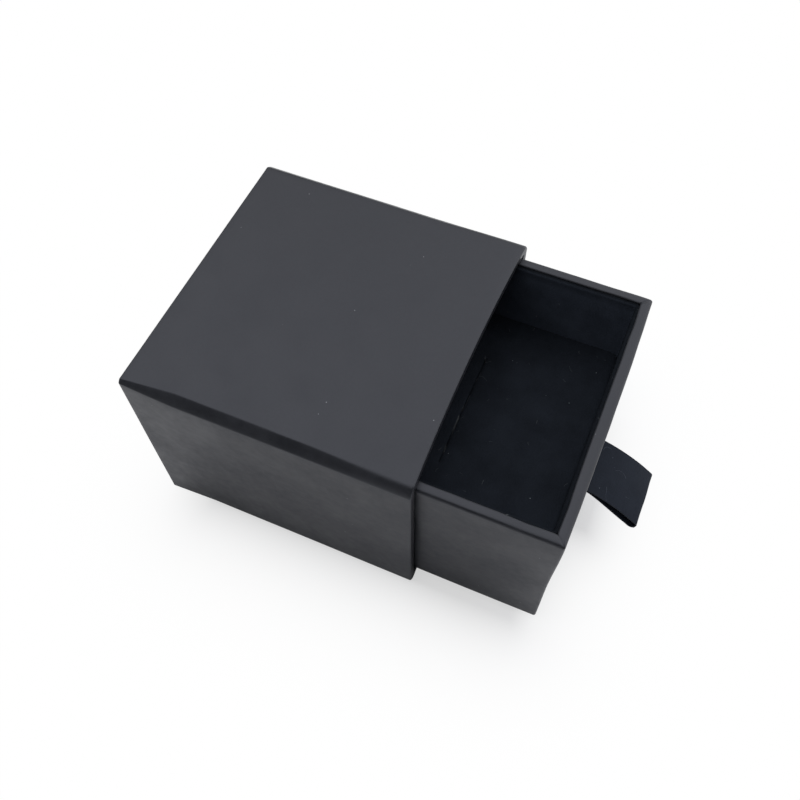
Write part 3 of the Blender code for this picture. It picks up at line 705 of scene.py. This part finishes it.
def sleeve_shift(point):
    """Hand-made board and paper: nothing is dead flat."""
    coarse, fine = SLEEVE_WAVES
    return wobble(point, *coarse) + wobble(point, *fine) + mouth_flare(point)


def mouth_flare(point):
    """The folded paper stands proud of the board at the mouth's sides, and least in its middle."""
    ahead = 1 - smooth_step(SLEEVE_LOW.y, SLEEVE_LOW.y + MOUTH_FLARE_REACH, point.y)
    across = min(abs(point.x) / SLEEVE_HIGH.x, 1.0)
    return Vector((0, -MOUTH_FLARE * across ** 2 * ahead, 0))


def add_sleeve_paper(paper):
    """The sleeve's outer paper, turned over the back and in round the mouth."""
    low, high = SLEEVE_LOW, SLEEVE_HIGH
    back, mouth = high.y - PAPER / 2, low.y + PAPER / 2
    middle = fold_path(
        [
            (SLEEVE_TURN, back),
            (PAPER / 2, back),
            (PAPER / 2, mouth),
            (SLEEVE_WALL - PAPER / 2, mouth),
            (SLEEVE_WALL - PAPER / 2, mouth + SLEEVE_TURN),
        ],
        [SLEEVE_EDGE_FOLD] * 3,
        EDGE_FOLD_STEPS,
    )
    crisp_from, crisp_to = (low.y + reach for reach in FOLD_SOFTENS)
    rows = []
    for inset, y in sheet_outline(divided(middle, SLEEVE_STEP), PAPER):
        soft = 1 - smooth_step(crisp_from, crisp_to, y)
        high_turn = mixed(FOLD_HIGH_TURN_CRISP, FOLD_HIGH_TURN_SOFT, soft)
        profile = fold_profile(FOLD_LOW_TURN, high_turn)
        pinch = max(0.0, 1 - (high.y - y) / SLEEVE_PINCH)
        left_reach = mixed(SLEEVE_FOLD, SLEEVE_BACK_FOLD, pinch)
        rows.append(sleeve_ring(low, high, inset, y, left_reach, SLEEVE_FOLD, profile))
    mesh = grid_mesh(
        "sleeve_paper", rows, rows_closed=True, columns_closed=False, shift=sleeve_shift
    )
    return add_piece("sleeve_paper", mesh, paper, "sleeve", ["sleeve_wrap"])


# Drawer paper

def plan_ring(low, high, inset, radius, z, count=RING_STEPS, crowding=0.0):
    """A ring round the drawer at an inset; crowding draws its points towards the corners."""
    radius = max(radius, GLUE_GAP)
    half_x, half_y = (high.x - low.x) / 2 - inset, (high.y - low.y) / 2 - inset
    centre_y = (high.y + low.y) / 2
    u, v = half_x - radius, half_y - radius
    corners = [
        arc(centre, radius, turn * QUARTER_TURN, (turn + 1) * QUARTER_TURN, CORNER_STEPS)
        for turn, centre in enumerate([(u, v), (-u, v), (-u, -v), (u, -v)])
    ]
    shares = [i / count for i in range(1, count)]
    shares = [t - crowding * math.sin(2 * math.pi * t) / (2 * math.pi) for t in shares]
    ring = []
    for corner, following in zip(corners, corners[1:] + corners[:1]):
        start, end = corner[-1], following[0]
        ring += corner
        ring += [(mixed(start[0], end[0], t), mixed(start[1], end[1], t)) for t in shares]
    return [(x, y + centre_y, z) for x, y in ring]


def wall_bow(point):
    """The outer paper bellies out towards the rim, most of all on the front wall."""
    lean = smooth_step(BOW_START, DRAWER_HIGH.z, point.z)
    across = max(-1.0, min(1.0, point.x / DRAWER_HALF.x))
    side_inset = DRAWER_HALF.x - abs(point.x)
    front_inset = point.y - DRAWER_LOW.y
    side = SIDE_BOW * (1 - smooth_step(*OUTER_LAYER, side_inset))
    side *= smooth_step(DRAWER_HIGH.y, DRAWER_HIGH.y - BOW_BACK_REACH, point.y)
    ahead = FRONT_BOW * (1 - smooth_step(*OUTER_LAYER, front_inset))
    ahead *= mixed(BOW_CORNER_SHARE, 1.0, math.cos(across * QUARTER_TURN))
    return Vector((math.copysign(side, across), -ahead, -RIM_TILT * ahead)) * lean


def rim_swell(point):
    """The doubled paper of the rims leans in over the velvet, most of all by the corners."""
    across = DRAWER_HALF.x - abs(point.x)
    along = DRAWER_HALF.y - abs(point.y - DRAWER_MIDDLE.y)
    height = smooth_step(*(DRAWER_HIGH.z - depth for depth in RIM_DEPTHS), point.z)
    corner = 1 - smooth_step(*CORNER_REACH, max(across, along))
    swell = height * mixed(RIM_SWELL, CORNER_SWELL, corner)
    shift = Vector((0, 0, 0))
    for axis, inset in ((0, across), (1, along)):
        share = smooth_step(RIM_START, DRAWER_RIM, inset) * (1 - smooth_step(*RIM_LIMIT, inset))
        shift[axis] = -math.copysign(swell * share, point[axis] - DRAWER_MIDDLE[axis])
    if max(across, along) < RIM_LIMIT[0]:
        groove = math.exp(-((across - along) / MITRE_WIDTH) ** 2)
        shift.z -= MITRE_DEPTH * groove * height
    return shift


def drawer_shift(point):
    """The tray's walls, wavier towards the rim."""
    rim = smooth_step(DRAWER_HIGH.z - RIM_WAVE_REACH, DRAWER_HIGH.z, point.z)
    shift = wobble(point, *DRAWER_WAVE)
    shift += wobble(point, RIM_WAVE_SIZE, mixed(*RIM_WAVE_HEIGHTS, rim) * MM, RIM_WAVE_SEED)
    return shift + rim_swell(point) + wall_bow(point)


def add_drawer_paper(paper):
    """The drawer's outer paper: base, walls, rims and the turned-in edge."""
    low, high = DRAWER_LOW, DRAWER_HIGH
    bottom, top = low.z + PAPER / 2, high.z - PAPER / 2
    middle = fold_path(
        [
            (2 * DRAWER_FOLDS[0], bottom),
            (PAPER / 2, bottom),
            (PAPER / 2, top),
            (DRAWER_RIM - PAPER / 2, top),
            (DRAWER_RIM - PAPER / 2, top - DRAWER_TURN_IN),
        ],
        DRAWER_FOLDS,
        DRAWER_FOLD_STEPS,
    )
    rows = []
    for inset, z in sheet_outline(divided(middle, DRAWER_STEP), PAPER):
        radius = DRAWER_CORNER - inset
        rows.append(plan_ring(low, high, inset, radius, z, DRAWER_RING_STEPS, DRAWER_CROWDING))
    mesh = grid_mesh("drawer_paper", rows, shift=drawer_shift)
    piece = add_piece("drawer_paper", mesh, paper, "drawer", ["drawer_wrap"])
    cut_out(piece, SLOT_WIDTH, SLOT_HEIGHT, SLOT_HEIGHT / 2, slot_height(), low.y, PAPER)
    return piece


def slot_height():
    """The height of the ribbon's slot, from the ribbon's end inside it."""
    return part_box("ribbon_tail")[1].z - RIBBON - GLUE_GAP / 2


def cut_out(piece, width, height, radius, z, y, depth):
    """Cuts a rounded opening through a wall that faces -Y."""
    u, v = width / 2 - radius, height / 2 - radius
    outline = []
    for turn, centre in enumerate([(u, v), (-u, v), (-u, -v), (u, -v)]):
        start = turn * QUARTER_TURN
        outline += arc(centre, radius, start, (turn + 1) * QUARTER_TURN, CUT_CORNER_STEPS)
    rows = [
        [(a, end, z + b) for a, b in outline] for end in (y - CUT_OVERRUN, y + depth + CUT_OVERRUN)
    ]
    mesh = grid_mesh("opening_cutter", rows)
    faces_outwards(mesh)
    cutter = bpy.data.objects.new("opening_cutter", mesh)
    bpy.context.scene.collection.objects.link(cutter)
    modifier = piece.modifiers.new("opening", "BOOLEAN")
    modifier.operation = "DIFFERENCE"
    modifier.solver = "EXACT"
    modifier.object = cutter
    bpy.context.view_layer.update()
    evaluated = piece.evaluated_get(bpy.context.evaluated_depsgraph_get())
    whole = piece.data
    piece.data = bpy.data.meshes.new_from_object(evaluated)
    piece.modifiers.remove(modifier)
    bpy.data.objects.remove(cutter)
    bpy.data.meshes.remove(whole)
    bpy.data.meshes.remove(mesh)


# Velvet and foam

def velvet_shift(point):
    """Soft lumps of glued velvet."""
    coarse, fine = VELVET_WAVES
    return wobble(point, *coarse) + wobble(point, *fine)


def add_velvet_lining(velvet):
    """The velvet band round the inside of the walls."""
    low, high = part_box("drawer_velvet_lining")
    turn = arc((0, 0), 1, QUARTER_TURN, 0, ROUND_STEPS)
    rim = [
        (-GLUE_GAP + u * (VELVET + GLUE_GAP), high.z - LINING_TOP_DROP * (1 - v)) for u, v in turn
    ]
    path = [(0, low.z)] + rim + [(VELVET, low.z)]
    rows = []
    for inset, z in divided(path, LINING_STEP):
        rows.append(plan_ring(low, high, inset, LINING_CORNER + VELVET - inset, z))
    mesh = grid_mesh("velvet_lining", rows, rows_closed=True, shift=velvet_shift)
    piece = add_piece(
        "velvet_lining", mesh, velvet, "drawer", ["drawer_velvet_lining"]
    )
    notch_top = slot_height() + SLOT_HEIGHT / 2 + NOTCH_CLEARANCE
    notch_height = notch_top - low.z + CUT_OVERRUN
    cut_out(
        piece, NOTCH_WIDTH, notch_height, CUT_OVERRUN, notch_top - notch_height / 2, low.y, VELVET
    )
    return piece


def pad_ring(low, high, share, z):
    """A ring on the pad's face, from its rounded edge at 0 to the slit's lips at 1."""
    edge_x = (high.x - low.x) / 2 - PAD_EDGE
    edge_y = (high.y - low.y) / 2 - PAD_EDGE
    half_x = mixed(edge_x, SLIT_LENGTH / 2, share)
    half_y = mixed(edge_y, SLIT_WIDTH / 2, share)
    radius = mixed(PAD_CORNER - PAD_EDGE, SLIT_WIDTH / 2, share)
    centre = Vector(((high.x + low.x) / 2, (high.y + low.y) / 2, 0))
    reach = Vector((half_x, half_y, 0))
    return plan_ring(centre - reach, centre + reach, 0, radius, z)


def add_insert_pad(velvet):
    """The velvet-covered insert: rounded edges, a low crown and the ring slit."""
    low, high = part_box("insert_velvet_cover")
    swell = Vector((PAD_SWELL, PAD_SWELL, 0))
    low, high = low - swell, high + swell
    edge_z = high.z - PAD_CROWN - PAD_EDGE
    rows = [plan_ring(low, high, 0, PAD_CORNER, low.z)]
    edge = arc((PAD_EDGE, edge_z), PAD_EDGE, 2 * QUARTER_TURN, QUARTER_TURN, ROUND_STEPS)
    for inset, z in edge:
        rows.append(plan_ring(low, high, inset, PAD_CORNER - inset, z))
    for i in range(1, PAD_RINGS):
        share = i / PAD_RINGS
        rise = PAD_CROWN * math.sin(min(share * PAD_CROWN_RISE, 1) * QUARTER_TURN)
        rows.append(pad_ring(low, high, share, high.z - PAD_CROWN + rise))
    for share, drop in SLIT_LIPS:
        rows.append(pad_ring(low, high, share, high.z - SLIT_DEPTH * drop))
    mesh = grid_mesh("insert_pad", rows, shift=velvet_shift)
    piece = add_piece(
        "insert_pad", mesh, velvet, "drawer", ["insert_velvet_cover"]
    )
    return piece


def add_foam_block(name, node, foam):
    """A foam block of the insert."""
    low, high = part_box(node)
    centre = (FOAM_EDGE, high.z - FOAM_EDGE)
    path = [(0, low.z), (0, high.z - FOAM_EDGE)]
    path += arc(centre, FOAM_EDGE, 2 * QUARTER_TURN, QUARTER_TURN, FOAM_EDGE_STEPS)[1:]
    rows = [
        plan_ring(low, high, inset, PAD_CORNER - VELVET - inset, z, FOAM_RING_STEPS)
        for inset, z in path
    ]
    mesh = grid_mesh(name, rows)
    piece = add_piece(name, mesh, foam, "drawer", [node])
    return piece


# Ribbon

def ribbon_path():
    """The folded ribbon's middle line in Y and Z, from the slot out, round its tip and back."""
    step = RIBBON_REACH / RIBBON_STEPS
    root_half = RIBBON / 2 + GLUE_GAP / 2
    tip_half = RIBBON_LOOP_HEIGHT / 2 - RIBBON / 2
    y, z = 0.0, 0.0
    upper, lower = [], []
    for i in range(RIBBON_STEPS + 1):
        share = i / RIBBON_STEPS
        droop = mixed(RIBBON_START_ANGLE, RIBBON_END_ANGLE, share)
        half = mixed(root_half, tip_half, math.sin(share * QUARTER_TURN))
        across = (-math.sin(droop), math.cos(droop))
        upper.append((y + half * across[0], z + half * across[1]))
        lower.append((y - half * across[0], z - half * across[1]))
        last = (y, z)
        y -= step * math.cos(droop)
        z -= step * math.sin(droop)
    start = QUARTER_TURN + RIBBON_END_ANGLE
    tip = arc(last, tip_half, start, start + 2 * QUARTER_TURN, RIBBON_TIP_STEPS)
    return upper[:-1] + tip + lower[-2::-1]


def ribbon_line(hinge_y, hinge_z):
    """The whole ribbon's middle line: up behind the wall, out round the loop, and back."""
    low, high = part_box("ribbon_tail")
    apart = RIBBON / 2 + GLUE_GAP / 2
    inner_y, wall_y = high.y - RIBBON / 2, high.y - RIBBON - 2 * apart + RIBBON / 2
    loop = [(hinge_y + u, hinge_z + v) for u, v in ribbon_path()]
    over = fold_path(
        [(inner_y, low.z), (inner_y, hinge_z + apart), (hinge_y + apart, hinge_z + apart)],
        [RIBBON_BEND + apart],
        RIBBON_BEND_STEPS,
    )
    under = fold_path(
        [(hinge_y + apart, hinge_z - apart), (wall_y, hinge_z - apart), (wall_y, low.z)],
        [RIBBON_BEND - apart],
        RIBBON_BEND_STEPS,
    )
    return over + loop + under


def ribbon_shift(point):
    """The loop's edges droop a little, and its near corner most."""
    hinge_y = DRAWER_LOW.y - RIBBON_HINGE_OFFSET
    out = smooth_step(hinge_y, hinge_y - RIBBON_REACH, point.y) if point.y < hinge_y else 0.0
    side = point.x / RIBBON_HALF_WIDTH
    droop = -EDGE_DROOP * side ** 2 - NEAR_CORNER_DROOP * max(-side, 0) ** 3
    droop *= out
    if point.y < hinge_y and point.z < loop_middle(hinge_y - point.y):
        sag = math.sin(min(out * LOWER_PLY_FULL, 1.0) * math.pi * LOWER_PLY_TURN)
        droop -= LOWER_PLY_HANG * sag * max(-side, 0) ** 2
    return Vector((0, 0, droop)) + wobble(point, *RIBBON_WAVE) * out


def loop_middle(out):
    """The height of the loop's middle line at a distance in front of the hinge."""
    share = min(out / (RIBBON_REACH * math.cos(RIBBON_MEAN_ANGLE)), 1.0)
    middle = mixed(RIBBON_START_ANGLE, RIBBON_END_ANGLE, share / 2)
    return slot_height() - out * math.tan(middle)


def add_ribbon(satin):
    """One ribbon, doubled: its loop in front and its two ends behind the front wall."""
    low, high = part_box("pull_ribbon")
    hinge_y = DRAWER_LOW.y - RIBBON_HINGE_OFFSET
    line = divided(ribbon_line(hinge_y, slot_height()), RIBBON_STEP)
    outline = sheet_outline(line, RIBBON)
    rows = [
        [(mixed(low.x, high.x, i / RIBBON_COLUMNS), u, v) for u, v in outline]
        for i in range(RIBBON_COLUMNS + 1)
    ]
    mesh = grid_mesh("ribbon", rows, shift=ribbon_shift)
    piece = add_piece(
        "ribbon", mesh, satin, None, ["pull_ribbon", "ribbon_tail"]
    )
    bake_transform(piece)
    return piece


# Light

def add_floor():
    """A pale floor, which the camera and mirrored rays see white but for the shades by the box."""
    outline = arc((0, 0), FLOOR_RADIUS, 0, 4 * QUARTER_TURN, FLOOR_STEPS)[:-1]
    mesh = bpy.data.meshes.new("floor")
    mesh.from_pydata([(x, y, 0) for x, y in outline], [], [tuple(range(FLOOR_STEPS))])
    floor = bpy.data.objects.new("floor", mesh)
    bpy.context.scene.collection.objects.link(floor)
    material, tree, shader, place = new_material("pale_floor")
    tone = add_mix(tree, add_shade(tree, place, FLOOR_SHADE), (0.0, 0.0, 0.0), FLOOR_COLOUR)
    tree.links.new(tone, shader.inputs["Base Color"])
    shader.inputs["Roughness"].default_value = FLOOR_ROUGHNESS
    shader.inputs["Specular IOR Level"].default_value = FLOOR_SPECULAR
    glow = tree.nodes.new("ShaderNodeEmission")
    glow.inputs["Color"].default_value = (1.0, 1.0, 1.0, 1.0)
    glow.inputs["Strength"].default_value = 1.0
    path = tree.nodes.new("ShaderNodeLightPath")
    mirrored = add_math(
        tree, "MAXIMUM", path.outputs["Is Glossy Ray"], path.outputs["Is Transmission Ray"]
    )
    mirrored = add_math(tree, "MULTIPLY", mirrored, add_shade(tree, place, MIRROR_SHADE))
    share = add_math(tree, "MAXIMUM", path.outputs["Is Camera Ray"], mirrored)
    for shadow in (BOX_SHADOW, RIBBON_SHADOW):
        share = add_math(tree, "MULTIPLY", share, add_shade(tree, place, shadow))
    blend = tree.nodes.new("ShaderNodeMixShader")
    tree.links.new(share, blend.inputs[0])
    tree.links.new(shader.outputs[0], blend.inputs[1])
    tree.links.new(glow.outputs[0], blend.inputs[2])
    tree.links.new(blend.outputs[0], tree.nodes["Material Output"].inputs["Surface"])
    mesh.materials.append(material)


def add_shade(tree, place, shadow):
    """1 on the open floor, and less near the shadow's rectangle."""
    centre, half, halving, depth = shadow
    chain = place
    steps = [
        ("SUBTRACT", (*centre, 0)),
        ("ABSOLUTE", None),
        ("SUBTRACT", (*half, 0)),
        ("MAXIMUM", (0, 0, 0)),
        ("LENGTH", None),
    ]
    for operation, value in steps:
        node = tree.nodes.new("ShaderNodeVectorMath")
        node.operation = operation
        tree.links.new(chain, node.inputs[0])
        if value:
            node.inputs[1].default_value = value
        chain = node.outputs["Value" if operation == "LENGTH" else "Vector"]
    left = add_math(tree, "POWER", 0.5, add_math(tree, "DIVIDE", chain, halving))
    return add_math(tree, "SUBTRACT", 1.0, add_math(tree, "MULTIPLY", left, depth))


def add_world():
    """Two broad soft lights, above and in front, in a dark room that the camera sees white."""
    world = bpy.data.worlds.new("studio")
    world.use_nodes = True
    bpy.context.scene.world = world
    tree = world.node_tree
    background = tree.nodes["Background"]
    place = tree.nodes.new("ShaderNodeTexCoord").outputs["Generated"]
    sky = add_sky_light(tree, place, SKY_AXIS, SKY_STOPS)
    front = add_sky_light(tree, place, FRONT_AXIS, FRONT_STOPS)
    level = add_math(tree, "ADD", sky, front)
    seen = tree.nodes.new("ShaderNodeLightPath").outputs["Is Camera Ray"]
    colour = add_mix(tree, seen, level, (1.0, 1.0, 1.0))
    tree.links.new(colour, background.inputs["Color"])


def add_sky_light(tree, place, axis, stops):
    """The level of one soft light round its axis."""
    toward = tree.nodes.new("ShaderNodeVectorMath")
    toward.operation = "DOT_PRODUCT"
    toward.inputs[1].default_value = Vector(axis).normalized()
    tree.links.new(place, toward.inputs[0])
    ramp = tree.nodes.new("ShaderNodeValToRGB")
    tree.links.new(toward.outputs["Value"], ramp.inputs["Fac"])
    elements = ramp.color_ramp.elements
    while len(elements) < len(stops):
        elements.new(0.5)
    for element, (position, level) in zip(elements, stops):
        element.position = position
        element.color = (level, level, level, 1.0)
    return ramp.outputs["Color"]


# The whole scene

def dress_rigid_nodes(paper, board, tape):
    """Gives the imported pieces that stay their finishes."""
    slots = {"black_paper": paper, "greyboard": board, "kraft_tape": tape}
    for entry in frame["record"]["subparts"]:
        finish = slots.get(entry["material_slot"])
        if finish:
            data = frame["nodes"][entry["node"]].data
            data.materials.clear()
            data.materials.append(finish)


def build():
    """Makes the whole scene."""
    noise.seed_set(NOISE_SEED)
    add_camera()
    add_world()
    add_floor()
    paper, velvet, satin = black_paper(), black_velvet(), black_satin()
    foam = black_foam()
    dress_rigid_nodes(paper, greyboard(), kraft_tape())
    add_sleeve_paper(paper)
    add_drawer_paper(paper)
    add_velvet_lining(velvet)
    add_insert_pad(velvet)
    for side in ("front", "back"):
        add_foam_block(f"foam_{side}_block", f"insert_foam_{side}", foam)
    add_ribbon(satin)
    bpy.context.scene.view_settings.view_transform = "Standard"


build()
